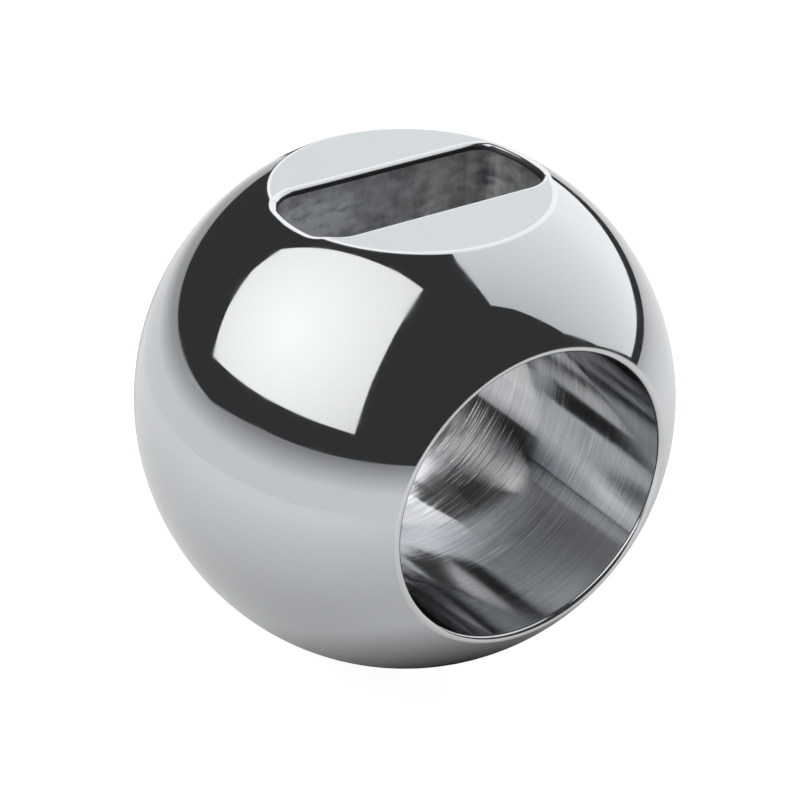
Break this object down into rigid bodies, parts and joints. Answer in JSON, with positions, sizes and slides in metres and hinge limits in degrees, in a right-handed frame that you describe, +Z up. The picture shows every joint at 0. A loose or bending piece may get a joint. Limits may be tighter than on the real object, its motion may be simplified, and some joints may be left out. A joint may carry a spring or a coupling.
{
  "type": "valve ball",
  "caption": "Floating ball for a quarter-turn ball valve: polished sphere with a full bore, a ground stem flat and a milled slot for the stem's tang.",
  "frame": {"origin": "centre of the sealing sphere, on the bore axis and the stem axis", "axes": "+X along the bore, +Y along the stem slot, +Z up along the stem axis and out of the flat"},
  "size_m": [0.0366, 0.045, 0.0418],
  "materials": {
    "stainless_steel": "mirror polished sphere, ground flat, milled slot and turned bore"
  },
  "bodies": {
    "root": {"valve_ball": "stainless_steel"}
  },
  "joints": []
}
